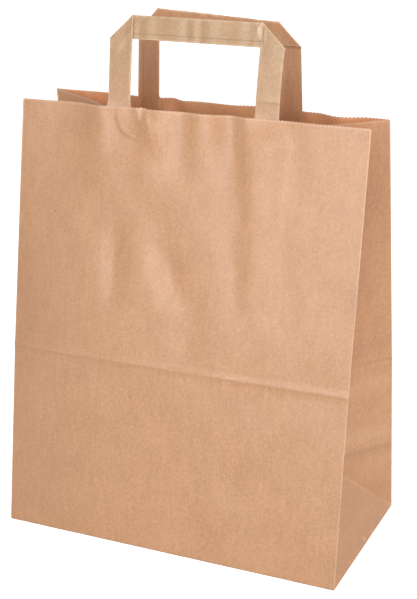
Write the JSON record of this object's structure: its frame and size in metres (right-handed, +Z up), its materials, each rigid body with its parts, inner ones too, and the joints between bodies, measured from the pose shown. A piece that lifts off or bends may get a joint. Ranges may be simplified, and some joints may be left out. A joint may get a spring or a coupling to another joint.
{
  "type": "kraft paper bag",
  "caption": "Plain kraft paper carrier bag with folded side gussets, a flat block bottom and flat folded-strip paper handles.",
  "frame": {"origin": "centre of the bottom's footprint, on the surface the bag stands on", "axes": "+Z up to the handles, +X across the wide front wall to the right as seen from the front, front wall towards -Y"},
  "size_m": [0.3224, 0.17, 0.466],
  "materials": {
    "kraft_paper": "uncoated machine-finished brown kraft, matt with a fine fibre grain",
    "handle_paper": "folded brown kraft strip, matt",
    "patch_paper": "brown kraft patch, matt"
  },
  "bodies": {
    "root": {"bag_body": "kraft_paper", "front_handle": "handle_paper", "back_handle": "handle_paper", "front_patch": "patch_paper", "back_patch": "patch_paper"}
  },
  "joints": []
}
